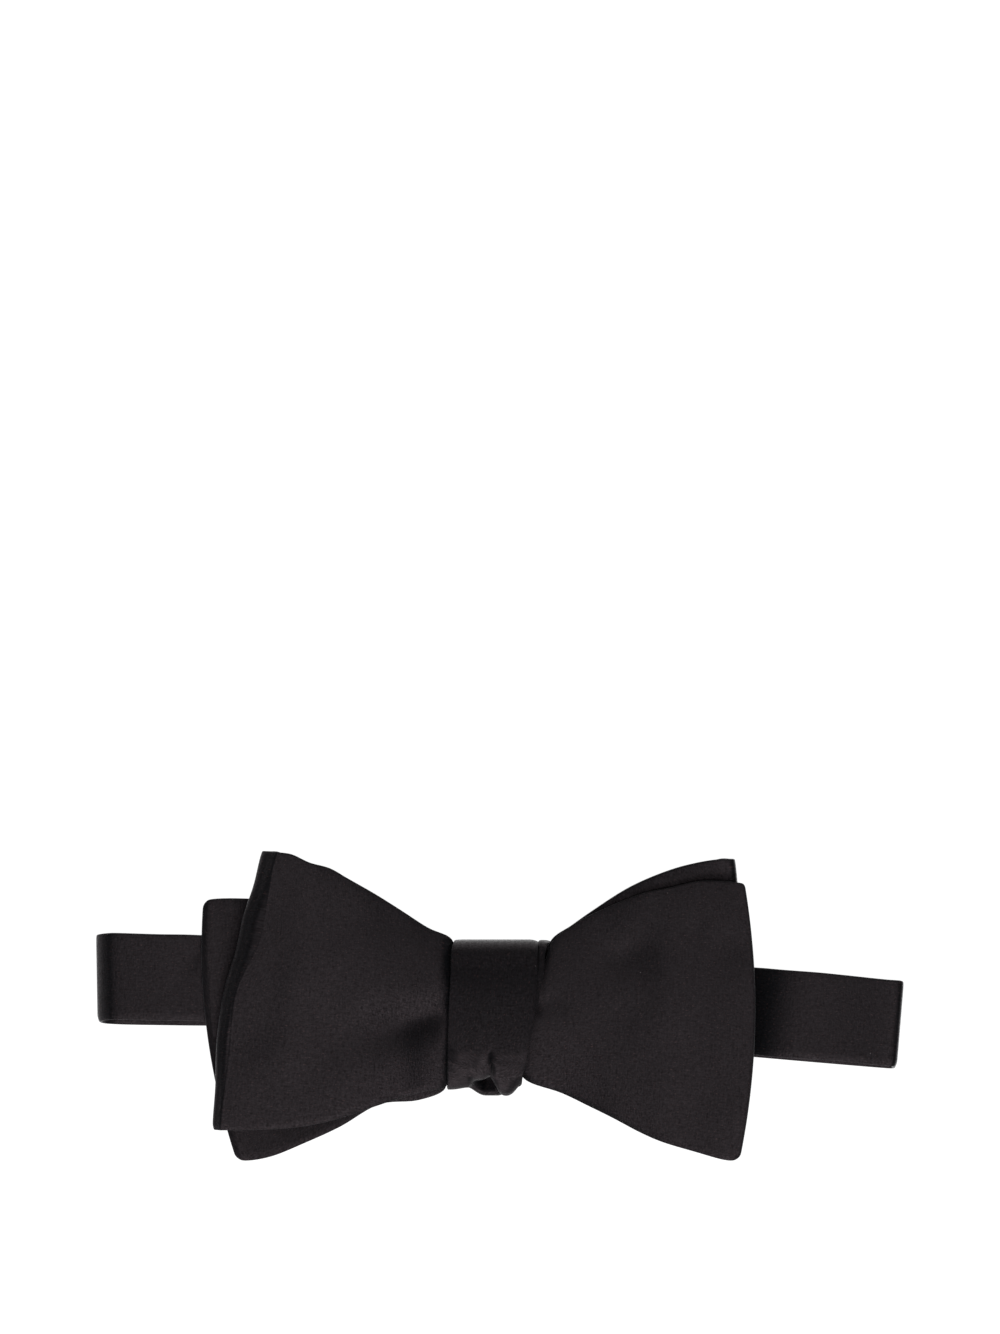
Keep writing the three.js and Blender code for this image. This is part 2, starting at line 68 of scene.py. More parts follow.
FRONT_BLADE_WAIST = [
    ((6.5, 11.4, 15.8), (3.0, -1.4, 17.3), (1.5, -13.0, 15.8)),
    ((-3.0, 11.2, 15.8), (-3.6, -1.2, 17.3), (-4.0, -12.6, 15.8)),
]
FRONT_BLADE_LEFT = [
    ((-11.2, 12.2, 15.8), (-11.4, -2.0, 17.4), (-11.6, -17.0, 15.8)),
    ((-11.6, 16.6, 15.9), (-13.4, -1.8, 18.2), (-13.6, -20.2, 16.4)),
    ((-17.8, 19.7, 16.4), (-17.9, -1.0, 18.4), (-18.0, -21.1, 16.4)),
    ((-24.5, 24.1, 17.2), (-24.0, 0.3, 18.0), (-23.6, -22.6, 15.7)),
    ((-31.0, 28.2, 18.2), (-30.2, 1.5, 18.2), (-29.8, -24.6, 15.5)),
    ((-37.8, 32.1, 19.1), (-37.5, 2.0, 18.3), (-37.4, -27.2, 15.2)),
    ((-42.2, 34.6, 19.7), (-43.0, 2.5, 18.2), (-44.6, -29.2, 14.9)),
    ((-47.2, 36.0, 20.2), (-49.8, 3.0, 18.1), (-52.2, -30.4, 14.7)),
    ((-51.8, 38.1, 20.5), (-58.0, 3.5, 17.9), (-62.2, -30.9, 14.6)),
    ((-55.2, 38.6, 20.5), (-65.8, 4.0, 17.65), (-69.6, -31.0, 14.6)),
]
FRONT_BLADE_BEHIND = [
    ((-55.2, 38.6, 13.9), (-65.8, 4.0, 13.2), (-69.6, -31.0, 11.8)),
    ((-47.5, 35.0, 13.8), (-50.0, 3.0, 13.7), (-52.4, -29.8, 12.1)),
    ((-38.0, 30.2, 13.8), (-37.8, 2.0, 14.0), (-37.5, -26.4, 12.6)),
    ((-25.0, 22.6, 13.8), (-24.5, 0.3, 14.3), (-24.0, -22.0, 13.2)),
    ((-14.0, 15.4, 13.8), (-14.0, -2.2, 14.5), (-14.2, -19.6, 13.8)),
    ((-10.8, 12.4, 13.9), (-10.8, -2.4, 14.8), (-11.0, -17.8, 13.9)),
    ((-3.0, 12.2, 14.1), (-3.0, -1.2, 15.3), (-3.0, -12.8, 14.1)),
    ((5.0, 12.2, 14.1), (3.0, -1.4, 15.4), (0.5, -12.8, 14.2)),
]
REAR_BLADE_LEFT = [
    ((-74.0, 26.1, 10.5), (-73.1, -6.2, 10.7), (-65.8, -38.4, 9.2)),
    ((-71.8, 26.7, 10.5), (-70.8, -5.8, 10.7), (-63.4, -38.8, 9.2)),
    ((-62.2, 26.8, 10.5), (-60.2, -4.8, 10.8), (-57.2, -37.8, 9.3)),
    ((-52.2, 25.8, 10.6), (-50.2, -4.0, 10.9), (-48.5, -34.3, 9.6)),
    ((-42.2, 23.5, 10.8), (-41.0, -3.3, 11.1), (-39.8, -30.3, 10.0)),
    ((-31.0, 20.2, 11.1), (-30.5, -2.5, 11.5), (-29.8, -24.6, 10.6)),
    ((-21.0, 17.0, 11.5), (-20.5, -2.3, 12.1), (-20.2, -23.6, 11.3)),
    ((-14.0, 14.8, 11.9), (-14.0, -2.5, 12.7), (-13.8, -21.1, 11.9)),
    ((-10.8, 12.6, 12.1), (-11.4, -2.6, 12.9), (-12.4, -17.9, 12.1)),
]
REAR_BLADE_WAIST = [((-3.0, 12.6, 12.3), (-3.0, -1.0, 13.4), (-3.0, -13.0, 12.3))]
REAR_BLADE_RIGHT = [
    ((12.4, 12.0, 12.4), (8.6, -1.8, 13.6), (4.8, -16.4, 12.3)),
    ((13.5, 16.8, 12.7), (11.2, -1.4, 14.0), (8.0, -18.0, 12.6)),
    ((18.0, 20.2, 14.6), (16.2, -0.9, 13.7), (14.4, -20.2, 12.8)),
    ((23.2, 23.9, 15.5), (22.0, -0.5, 13.8), (20.6, -22.8, 13.1)),
    ((32.8, 30.0, 16.5), (31.5, 0.0, 14.3), (30.2, -27.4, 13.6)),
    ((42.8, 34.2, 17.0), (42.2, 0.8, 14.4), (41.5, -32.0, 14.0)),
    ((50.2, 36.1, 17.2), (51.5, 1.5, 14.5), (49.0, -34.8, 14.1)),
    ((55.2, 36.8, 17.3), (58.2, 1.5, 14.5), (54.8, -35.8, 14.1)),
]
REAR_BLADE_BEHIND = [
    ((55.2, 36.8, 11.4), (58.2, 1.5, 11.2), (54.8, -35.8, 10.4)),
    ((42.8, 32.6, 11.4), (42.2, 0.8, 11.3), (41.5, -31.0, 10.4)),
    ((28.0, 25.6, 11.1), (27.0, 0.0, 11.4), (26.0, -24.8, 10.5)),
    ((15.2, 15.6, 10.9), (14.0, -1.6, 11.6), (12.6, -19.0, 10.7)),
    ((11.4, 10.6, 10.8), (9.4, -2.0, 11.6), (7.6, -16.6, 10.7)),
    ((2.5, 9.6, 10.9), (1.0, -1.6, 11.5), (0.0, -12.8, 10.8)),
    ((-7.0, 9.6, 10.9), (-7.0, -1.6, 11.4), (-7.0, -13.2, 10.8)),
]
# The neck band's rows give only the top and the bottom edge.
BAND_FRONT_RUN = [
    ((-96.5, 18.2, 8.1), (-96.1, -3.5, 8.1)),
    ((-86.0, 17.9, 8.5), (-86.0, -3.7, 8.5)),
    ((-74.0, 17.6, 8.5), (-74.4, -3.9, 8.5)),
    ((-55.0, 15.4, 8.6), (-56.6, -6.0, 8.6)),
    ((-30.0, 11.6, 8.9), (-32.0, -9.8, 8.9)),
    ((-12.0, 9.3, 9.1), (-12.6, -12.1, 9.1)),
    ((8.0, 9.2, 9.1), (8.0, -12.2, 9.1)),
    ((24.0, 9.7, 8.8), (23.6, -11.7, 8.8)),
    ((40.0, 10.0, 6.2), (39.4, -11.4, 6.2)),
    ((51.0, 9.9, 3.6), (50.4, -11.5, 3.6)),
    ((58.6, 9.7, 2.9), (56.6, -11.8, 3.0)),
    ((63.2, 9.5, 4.0), (60.4, -12.1, 4.3)),
    ((66.8, 9.3, 5.6), (64.2, -12.4, 6.0)),
    ((70.4, 9.0, 7.0), (67.8, -12.8, 7.2)),
    ((74.6, 8.7, 7.9), (72.2, -13.1, 8.0)),
    ((80.0, 8.3, 8.3), (78.4, -13.5, 8.3)),
    ((86.0, 7.7, 8.2), (84.6, -13.8, 8.2)),
    ((97.2, 6.5, 7.5), (95.4, -15.0, 7.5)),
]
BAND_BACK_RUN = [
    ((97.2, 5.8, 0.8), (95.4, -15.8, 0.8)),
    ((80.0, 7.4, 0.8), (78.6, -14.4, 0.8)),
    ((40.0, 10.4, 0.8), (38.6, -11.0, 0.8)),
    ((0.0, 13.2, 0.8), (-1.4, -8.3, 0.8)),
    ((-40.0, 15.8, 0.8), (-41.0, -5.7, 0.8)),
    ((-80.0, 17.0, 0.8), (-80.4, -5.2, 0.8)),
    ((-96.5, 17.2, 0.8), (-96.1, -4.9, 0.8)),
]

# The way each fold bulges, in the plane of the bow
LEFT_FOLD_OUT = (-1, 0.06)
RIGHT_FOLD_OUT = (1, 0)
BAND_LEFT_OUT = (-1, 0)
BAND_RIGHT_OUT = (1, -0.07)
# The sections of a fold's half-turn: how far out and how far up from its centre, as shares of its radius
CREASED_TURN = ((0.1, 0.93), (0.5, 0.63), (0.92, 0.31), (1.02, 0.14), (0.9, -0.1), (0.5, -0.7))
SOFT_TURN = ((0.25, 0.93), (0.5, 0.77), (0.76, 0.53), (0.96, 0.22), (1.0, -0.08), (0.8, -0.6))
SQUARE_TURN = ((0.82, 1.0), (0.96, 0.95), (1.0, 0.8), (1.0, -0.8), (0.85, -0.98))
CREASE_FROM = 0.93  # share of the way to the crease up to which the upper layer stays straight

# Pleats in the front layer: where each starts and ends, its depth at the start, its width to each side
FRONT_PLEATS = [
    ((-12.5, -0.8), (-56, -14.5), 1.65, 3.8),
    ((-20, -3.5), (-100, -4), 0.4, 5),
    ((-14, 21), (-100, 22.5), 0.45, 5),
    ((9.5, 0.3), (20, 0), 0.7, 2.3),
    ((31, 12.2), (42, 12.5), 0.8, 4.3),
    ((75, 16), (-20, 14), 0.4, 5),
    ((49, 19), (53, 19.5), 0.3, 3),
]
# Beside the knot's upper left edge every layer of the blades is pressed down, by these shares of one pleat
PINCH = ((-11.5, 15.5), (-11.7, 2.5), 2.0, 1.1)
PINCH_FRONT, PINCH_BEHIND, PINCH_REAR = 1, 0.65, 0.4
BAND_PLEATS = [((-74, 16), (-84, 0), 0.4, 1.2)]
WAVES_FROM, WAVES_TO = 16, 30  # how far from the knot's middle the cloth's waves come in
# Sections of the left fold's half-turn over which the pleats, and the pulls on the crease, die out
PLEATS_LEAVE, PULLS_LEAVE = 4, 1.5
# Where the left fold is drawn aside: place, reach, pull along X and Y
FRONT_PULLS = [((-60, 29), 7, (1.0, 0)), ((-63, 14), 8, (1.2, 0)), ((-70.5, -20), 8, (0.6, 0))]
# Where the crease alone is drawn aside, while the fold's edge stays
CREASE_PULLS = [((-60, 18.5), 9, (2.2, 0)), ((-67, -10), 8, (0.9, 0))]
# Radii of the corners at a strip's first and at its last section: top, bottom
FRONT_CORNERS = ((0.8, 1.6), (1.0, 1.0))
REAR_CORNERS = ((1.7, 1.5), (1.0, 1.0))
WRAP_CORNERS = ((0.8, 0.8), (0.8, 0.8))
WRAP_END_REACH = 4  # degrees over which the wrap's ends are rounded

# The knot's wrap: an oval spiral, seen from the side as height along Y and depth along Z
KNOT_Y = -2.7
KNOT_Z = 13.4
KNOT_HALF_HEIGHT = 16.4
KNOT_HALF_DEPTH = 5.7
KNOT_FRONT_SQUARENESS = 2.8
KNOT_BACK_SQUARENESS = 5
WRAP_GAP = 0.3
WRAP_START = 95  # degrees from the knot's top towards its front
# Degrees of travel up to which the wrap's sections lie so many degrees apart
WRAP_ROWS = [(240, 2.5), (345, 0.9), (475, 2.5)]
# Degrees of travel, left edge, right edge
WRAP_WIDTHS = [
    (0, -9.0, 8.9),
    (20, -9.8, 9.9),
    (45, -10.6, 11.3),
    (95, -11.2, 12.5),
    (120, -11.2, 13.2),
    (185, -11.0, 11.0),
    (235, -12.4, 5.8),
    (275, -13.0, 3.4),
    (313, -12.9, 5.7),
    (335, -12.8, 7.2),
    (365, -12.5, 8.9),
    (410, -12.0, 9.6),
    (455, -11.3, 9.8),
    (475, -11.0, 9.6),
]
# Degrees of travel, x, reach in degrees, width, depth. A negative depth stands out.
WRAP_DENTS = [
    (327, -1.9, 11, 0.65, 1.6),  # the pleat
    (290, 2.0, 24, 2.4, -1.4),  # the lobe beside it
    (280, 7.2, 30, 3.2, 1.6),  # the lobe's drawn-in right side
    (275, -7.2, 28, 3.6, 1.0),  # the bottom edge, which rises towards the pocket
    (352, -13.2, 48, 2.0, 1.1),  # the left edge, which bends down onto the wing
]
# The profile of the pocket at the pleat's foot, as y and z at equal steps of travel
POCKET_PROFILE = [
    (-18.6, 7.7),
    (-19.6, 8.3),
    (-20.7, 9.1),
    (-21.75, 10.2),
    (-21.5, 10.9),
    (-20.2, 10.6),
    (-18.5, 9.8),
    (-16.5, 9.3),
    (-15.1, 9.7),
    (-14.8, 11.6),
    (-15.7, 13.9),
    (-17.0, 16.2),
    (-16.6, 18.2),
    (-14.8, 19.4),
    (-12.6, 20.2),
]
# The degrees of travel at which the pocket starts and ends, and over which it comes and goes
POCKET_STARTS, POCKET_ENDS, POCKET_FADE = 236, 341, 12
# Where along X it comes in at its left and goes out at its right
POCKET_LEFT = (-8.1, -3.2)
POCKET_RIGHT = (-2.2, 1.2)
# Its right side leans by so many millimetres for each degree of travel past the middle.
POCKET_MIDDLE, POCKET_LEAN = 290, -0.06
# To the left of this x its upper lip falls, by so much for each millimetre, in this part of the profile.
LIP_FROM, LIP_FALL, LIP_SHARE = -2.8, 0.45, (0.5, 0.75)
# The inner turn's right edge stands out beside the outer turn: between which x it rises, and how far
INNER_EDGE_FROM, INNER_EDGE_TO, INNER_EDGE_RISE = 9.7, 10.5, 1.6
# and over which degrees of travel it comes and goes
INNER_EDGE_COMES, INNER_EDGE_GOES = (20, 75), (115, 160)

# How finely the cloth is divided
TANGENT_STEP = 1e-3  # share of the strip to each side of a place, over which its direction is measured
PLACE_DECIMALS = 9  # places along a strip that agree to so many decimals are one
BLADE_STEPS, BAND_STEPS = 6, 8  # faces from one section to the next
FRONT_COLUMNS, REAR_COLUMNS, BAND_COLUMNS, WRAP_COLUMNS = 96, 80, 36, 110  # faces across
CROWDING, WRAP_CROWDING = 0.75, 0.2  # how much narrower the faces are at the edges, as a share
CORNER_STEPS, WRAP_CORNER_STEPS = 7, 6  # places over which a corner is rounded
EDGE_STEPS = 6  # faces round a turned edge
EDGE_REACH = 0.5  # how far a turned edge bulges, as a share of half the thickness
END_WALL = 0.15  # share of the thickness that is left at a strip's very end
# The last millimetres before a long edge are thinner: over how many millimetres, and by what share
PILLOW_REACH, PILLOW_TOP, PILLOW_BOTTOM = 1.8, 0.1, 0.5

# The silk as it lies flat and as it is pulled tight round the knot: roughness, specular level, weight of the
# fibres' fuzz, and share of the lint's cells that hold a speck
FLAT_SILK = {"dullness": 0.5, "shine": 0.185, "fuzz": 0.12, "lint_share": 0.05}
PULLED_SILK = {"dullness": 0.55, "shine": 0.29, "fuzz": 0.04, "lint_share": 0.2}
SILK_IOR = 1.5
# Yarns lie 0.2 mm apart in such silk. They are drawn twice as far apart, because finer ones don't show.
YARN = 0.4 * MM
# Grains of noise in the cloth's plane: length along the cloth, length across it, detail, share of the height
WEAVE = [
    (4 * YARN, YARN, 1.0, 1),  # warp
    (YARN, 4 * YARN, 1.0, 1),  # weft
    (6 * MM, 0.7 * MM, 2.0, 0.5),  # slubs, the thicker stretches of yarn, along the cloth
    (0.7 * MM, 6 * MM, 2.0, 0.5),  # slubs across the cloth
    (0.5 * MM, 0.5 * MM, 3.0, 2),  # the nap's fine mottle
]
FIBRES = (0.8 * MM, 0.35 * MM, 1.0)  # stray fibres that the dye took less
FIBRES_SHOW = {"From Min": 0.62, "From Max": 0.78, "To Min": 0.0, "To Max": 0.8}  # only the noise's peaks
GRAIN_ROUGHNESS = 0.6
WEAVE_LOW, WEAVE_HIGH = 1.9, 3.1  # the range of the weave's summed height
DARKEST, LIGHTEST = 0.3, 1.7  # how the silk's colour is scaled from the weave's low places to its high ones: painted shade in the hollows between the yarns, painted light on their tops
DULLNESS_SPREAD = 0.16  # how much duller the low places are, and how much less dull the high ones
LINT_SPACING, LINT_RADIUS = 3.2 * MM, 0.05  # metres from one speck's cell to the next, and a share of that

# The stage, in metres and watts
TABLE_HALF_SIDE, TABLE_DROP = 2.5, 0.0002
TABLE_GLOW, WORLD_GLOW = 1.0, 0.16
LIGHT_SIZE = 1.1
FILL_POWER, BACK_POWER = 10, 4
KEY_PLACE, FILL_PLACE, BACK_PLACE = (0, -1.84, 1.54), (0, -0.62, 2.32), (0, 1.54, 1.84)
EYE = (0.00025, 0.08475, 3.0)  # the camera, which looks straight down
# The picture is this high for things that lie so far above the table.
FRAME_HEIGHT, AIM_HEIGHT = 0.3335, 0.012
SENSOR_WIDTH = 36
CLIP_END = 20


def linear(hex_colour):
    """An sRGB hex colour as a linear one."""
    channels = [int(hex_colour[i : i + 2], 16) / 255 for i in (1, 3, 5)]
    return [c / 12.92 if c <= 0.04045 else ((c + 0.055) / 1.055) ** 2.4 for c in channels]


class BowTieSettings(PropertyGroup):
    blade_cloth: FloatProperty(
        name="Blade cloth",
        description="Thickness of a blade: two layers of silk and their interlining",
        default=1.4 * MM,
        unit="LENGTH",
        subtype="DISTANCE",
    )
    wrap_cloth: FloatProperty(
        name="Wrap cloth",
        description="Thickness of the cloth wrapped round the knot",
        default=1.4 * MM,
        unit="LENGTH",
        subtype="DISTANCE",
    )
    band_cloth: FloatProperty(
        name="Band cloth",
        description="Thickness of the neck band, which is pressed and sewn flat",
        default=1.6 * MM,
        unit="LENGTH",
        subtype="DISTANCE",
    )
    wave_height: FloatProperty(
        name="Wave height",
        description="Height of the soft waves in the blades' cloth",
        default=0.12 * MM,
        unit="LENGTH",
        subtype="DISTANCE",
    )
    silk_colour: FloatVectorProperty(
        name="Silk",
        description="Colour of the dyed silk, as a linear colour",
        default=linear("#111214"),
        size=3,
        min=0,
        max=1,
        subtype="COLOR",
    )
    floor_colour: FloatVectorProperty(
        name="Floor",
        description="Colour of the table that the bow tie lies on, as a linear colour",
        default=linear("#6c6c6c"),
        size=3,
        min=0,
        max=1,
        subtype="COLOR",
    )
    key_power: FloatProperty(
        name="Key light",
        description="Power of the large soft light below the bow",
        default=28.5,
        unit="POWER",
    )


def settings():
    return bpy.context.scene.bow_tie


def bell(distance):
    return np.exp(-distance * distance)


def smoothstep(value, low, high):
    part = np.clip((value - low) / (high - low), 0, 1)
    return part * part * (3 - 2 * part)


def sections(rows):
    """A table as an array of sections, with the middle halfway between the edges where a row has none."""
    full = [row if len(row) == 3 else (row[0], np.mean(row, axis=0), row[1]) for row in rows]
    return np.array(full, float)


def half_turn(upper, lower, direction, turn):
    """The sections of a half-turn, from the end of an upper layer to the start of the lower one."""
    outward = np.array([*direction, 0.0]) / math.hypot(*direction)
    centre = (upper + lower) / 2
    radius = upper - centre
    reach = np.linalg.norm(radius, axis=-1, keepdims=True)
    return np.array([centre + radius * up + outward * reach * out for out, up in turn])


def before_crease(previous, crease):
    """The section that keeps an upper layer straight up to the crease at its end."""
    return (previous + (crease - previous) * CREASE_FROM)[None]


def curve(points, closed, along):
    """Centripetal curves through the points, one for each column, at each place along."""
    count = len(points)
    spans = count if closed else count - 1
    place = np.clip(along, 0, 1) * spans
    i = np.minimum(place.astype(int), spans - 1)
    w = (place - i)[:, None, None]
    if closed:
        padded = np.concatenate([points[-1:], points, points[:2]])
    else:
        before, after = 2 * points[:1] - points[1:2], 2 * points[-1:] - points[-2:-1]
        padded = np.concatenate([before, points, after])
    p0, p1, p2, p3 = (padded[i + k] for k in range(4))
    gaps = (p1 - p0, p2 - p1, p3 - p2)
    d0, d1, d2 = (np.sqrt(np.linalg.norm(gap, axis=-1, keepdims=True)) for gap in gaps)
    t1 = ((p1 - p0) / d0 - (p2 - p0) / (d0 + d1) + (p2 - p1) / d1) * d1
    t2 = ((p2 - p1) / d1 - (p3 - p1) / (d1 + d2) + (p3 - p2) / d2) * d1
    return p1 + w * (t1 + w * (3 * (p2 - p1) - 2 * t1 - t2 + w * (2 * (p1 - p2) + t1 + t2)))


def strip(rows, closed=False, shape=None):
    """The middle surface of a strip, as a function of the way along it and across it."""

    def at(along, across):
        lines = curve(rows, closed, along)
        top, bottom = (1 - across) * (1 - 2 * across), across * (2 * across - 1)
        parts = np.stack([top, 4 * across * (1 - across), bottom], -1)
        place = np.einsum("mkb,mbc->mkc", parts, lines)
        return shape(place, along[:, None], across) if shape else place

    return at


def facing(at, along, across):
    """Which way the strip's front faces, and which way is across it."""
    before, after = np.maximum(along - TANGENT_STEP, 0), np.minimum(along + TANGENT_STEP, 1)
    above, below = np.maximum(across - TANGENT_STEP, 0), np.minimum(across + TANGENT_STEP, 1)
    forward = at(after, across) - at(before, across)
    down = at(along, below) - at(along, above)
    down /= np.linalg.norm(down, axis=-1, keepdims=True)
    face = np.cross(forward, down)
    return face / np.linalg.norm(face, axis=-1, keepdims=True), down


def corner_inset(distance, radius):
    """How far a rounded corner draws an edge in, at some distance from the strip's end."""
    near = np.clip(radius - distance, 0, None)
    return radius - np.sqrt(np.clip(radius**2 - near**2, 0, None))


def rounding(count):
    """Places over a quarter-round, as shares of its radius from its start."""
    return 1 - np.cos(np.linspace(0, math.pi / 2, count))


def ring_faces(rows, around, columns, closed):
    """The faces from each ring of places to the next, and over both ends of a strip that isn't a loop."""
    faces = []
    for i in range(rows if closed else rows - 1):
        here, after = i * around, (i + 1) % rows * around
        for j in range(around):
            k = (j + 1) % around
            faces.append((here + j, here + k, after + k, after + j))
    if closed:
        return faces
    count = columns + 1
    last_back = 2 * count + EDGE_STEPS - 2
    for base, flip in ((0, True), ((rows - 1) * around, False)):
        caps = [tuple(range(count - 1, count + EDGE_STEPS))]
        caps.append((*range(around - EDGE_STEPS + 1, around), 0, last_back))
        for j in range(columns):
            other = last_back - j
            caps.append((j, j + 1, other - 1, other))
        for cap in caps:
            cap = tuple(base + j for j in cap)
            faces.append(cap[::-1] if flip else cap)
    return faces


def lay_flat(mesh, rings, travelled, width, closed):
    """Gives a strip's mesh its UV map: metres along the cloth, and metres round it from its middle."""
    rows, around, _ = rings.shape
    step = np.linalg.norm(np.roll(rings, -1, axis=1) - rings, axis=-1)
    round_ring = np.concatenate([np.zeros((rows, 1)), np.cumsum(step, axis=1)], axis=1)
    round_ring -= width[:, None] / 2
    if closed:
        round_ring = np.concatenate([round_ring, round_ring[:1]])
    uv = mesh.uv_layers.new(name="cloth")
    flat = []
    for i in range(rows if closed else rows - 1):
        for j in range(around):
            for row, column in ((i, j), (i, j + 1), (i + 1, j + 1), (i + 1, j)):
                flat += [travelled[row] * MM, round_ring[row, column] * MM]
    flat += [0.0] * (2 * len(mesh.loops) - len(flat))
    uv.data.foreach_set("uv", flat)


def cloth(name, at, along, columns, thickness, closed=False, corners=None, crowding=CROWDING):
    """A strip of cloth as one closed mesh, with turned edges and, where it has ends, rounded corners."""
    half = thickness / 2
    turned = half * EDGE_REACH
    straight = np.stack([np.zeros(len(along)), np.ones(len(along))], -1)
    edges = at(along, straight)
    width = np.linalg.norm(edges[:, 0] - edges[:, 1], axis=-1)
    middle = at(along, np.full((len(along), 1), 0.5))[:, 0]
    travelled = np.concatenate([[0], np.cumsum(np.linalg.norm(np.diff(middle, axis=0), axis=-1))])
    top_inset = bottom_inset = np.zeros(len(along))
    wall = np.full(len(along), half)
    if not closed:
        from_end = travelled[-1] - travelled
        (top_start, bottom_start), (top_end, bottom_end) = corners
        top_inset = corner_inset(travelled, top_start) + corner_inset(from_end, top_end)
        bottom_inset = corner_inset(travelled, bottom_start) + corner_inset(from_end, bottom_end)
        thin = np.clip(1 - np.minimum(travelled, from_end) / turned, 0, None)
        wall = half * np.sqrt(np.clip(1 - thin**2, END_WALL**2, None))

    low = ((top_inset + turned * (1 - PILLOW_TOP)) / width)[:, None]
    high = 1 - ((bottom_inset + turned * (1 - PILLOW_BOTTOM)) / width)[:, None]
    even = np.linspace(0, 1, columns + 1)
    crowded = even - crowding * np.sin(2 * math.pi * even) / (2 * math.pi)
    across = low + (high - low) * crowded
    place = at(along, across)
    face, down = facing(at, along, across)
    reach = PILLOW_REACH / width[:, None]
    near_top = np.clip(1 - (across - low) / reach, 0, None)
    near_bottom = np.clip(1 - (high - across) / reach, 0, None)
    thinner = PILLOW_TOP * near_top**2 + PILLOW_BOTTOM * near_bottom**2
    wall = wall[:, None, None] * (1 - thinner[..., None])
    front = place + face * wall
    back = (place - face * wall)[:, ::-1]
    turn = np.linspace(0, math.pi, EDGE_STEPS + 1)[1:-1][None, :, None]
    bulge = EDGE_REACH * np.sin(turn)
    bottom_edge = place[:, -1:] + wall[:, -1:] * (face[:, -1:] * np.cos(turn) + down[:, -1:] * bulge)
    top_edge = place[:, :1] - wall[:, :1] * (face[:, :1] * np.cos(turn) + down[:, :1] * bulge)
    rings = np.concatenate([front, bottom_edge, back, top_edge], axis=1)

    rows, around, _ = rings.shape
    mesh = bpy.data.meshes.new(name)
    mesh.from_pydata((rings.reshape(-1, 3) * MM).tolist(), [], ring_faces(rows, around, columns, closed))
    if closed:
        travelled = np.append(travelled, travelled[-1] + np.linalg.norm(middle[0] - middle[-1]))
    lay_flat(mesh, rings, travelled, width, closed)
    mesh.polygons.foreach_set("use_smooth", [True] * len(mesh.polygons))
    mesh.validate()
    piece = bpy.data.objects.new(name, mesh)
    bpy.context.scene.collection.objects.link(piece)
    return piece


def places(rows, steps, closed=False, thickness=0.0, corners=()):
    """Places along a strip: steps from section to section, and closer ones over its rounded ends."""
    spans = len(rows) if closed else len(rows) - 1
    along = np.arange(spans * steps + (0 if closed else 1)) / (spans * steps)
    if closed:
        return along
    first = np.linalg.norm(rows[1, 1] - rows[0, 1]) * spans
    last = np.linalg.norm(rows[-1, 1] - rows[-2, 1]) * spans
    turned = thickness / 2 * EDGE_REACH
    start = [radius * rounding(CORNER_STEPS) / first for radius in (turned, *corners[0])]
    end = [1 - radius * rounding(CORNER_STEPS) / last for radius in (turned, *corners[1])]
    return np.unique(np.round(np.concatenate([along, *start, *end]), PLACE_DECIMALS))


def pleat_depth(place, pleat):
    """How deep a pleat presses the cloth: it gets wider and shallower from its start to its end."""
    start, end, depth, width = pleat
    run = np.subtract(end, start)
    length = math.hypot(*run)
    x, y = place[..., 0] - start[0], place[..., 1] - start[1]
    along = (x * run[0] + y * run[1]) / length
    aside = (x * run[1] - y * run[0]) / length
    part = np.clip(along / length, 0, 1)
    fade = np.where(along < 0, bell(along / width), 1 - smoothstep(part, 0, 1))
    return depth * fade * bell(aside / (width * (1 + part)))


def wave(place, height):
    """Soft waves of the cloth over a blade, which die out towards the knot. They differ in length, so that
    they don't repeat."""
    x, y = place[..., 0], place[..., 1]
    rough = np.sin(x / 5.3 + 1.7 * np.sin(y / 11.0)) * np.cos(y / 7.1 + 1.3 * np.sin(x / 13.0))
    fine = 0.5 * np.sin(x / 2.9 - y / 4.7 + 1.1 * np.sin(x / 8.3 + y / 6.1))
    return height * (rough + fine) * smoothstep(np.abs(x), WAVES_FROM, WAVES_TO)


def pulled(place, pulls):
    """How far the pulls draw each place aside, along X and Y."""
    total = np.zeros_like(place[..., :2])
    for at, reach, pull in pulls:
        near = bell(np.linalg.norm(place[..., :2] - at, axis=-1, keepdims=True) / reach)
        total += near * pull
    return total


def front_blade():
    """The bow in front as one strip: right wing, waist, left wing, its crease, and the layer behind it."""
    tables = (FRONT_BLADE_RIGHT, FRONT_BLADE_WAIST, FRONT_BLADE_LEFT, FRONT_BLADE_BEHIND)
    right, waist, left, behind = (sections(rows) for rows in tables)
    front = np.concatenate([right, waist, left[:-1], before_crease(left[-2], left[-1]), left[-1:]])
    rows = np.concatenate([front, half_turn(left[-1], behind[0], LEFT_FOLD_OUT, CREASED_TURN), behind])
    front_end = (len(front) - 1) / (len(rows) - 1)
    height = settings().wave_height / MM

    def shape(place, along, across):
        lift = wave(place, height) - sum(pleat_depth(place, pleat) for pleat in FRONT_PLEATS)
        pinch = pleat_depth(place, PINCH) * np.where(along <= front_end, PINCH_FRONT, PINCH_BEHIND)
        into_turn = (along - front_end) * (len(rows) - 1)
        place[..., 2] += lift * (1 - smoothstep(into_turn, 0, PLEATS_LEAVE)) - pinch
        crease_pull = pulled(place, CREASE_PULLS) * (1 - smoothstep(into_turn, 0, PULLS_LEAVE))[..., None]
        place[..., :2] += pulled(place, FRONT_PULLS) + crease_pull
        return place

    thickness = settings().blade_cloth / MM
    along = places(rows, BLADE_STEPS, thickness=thickness, corners=FRONT_CORNERS)
    at = strip(rows, shape=shape)
    return cloth("front_blade_silk", at, along, FRONT_COLUMNS, thickness, corners=FRONT_CORNERS)


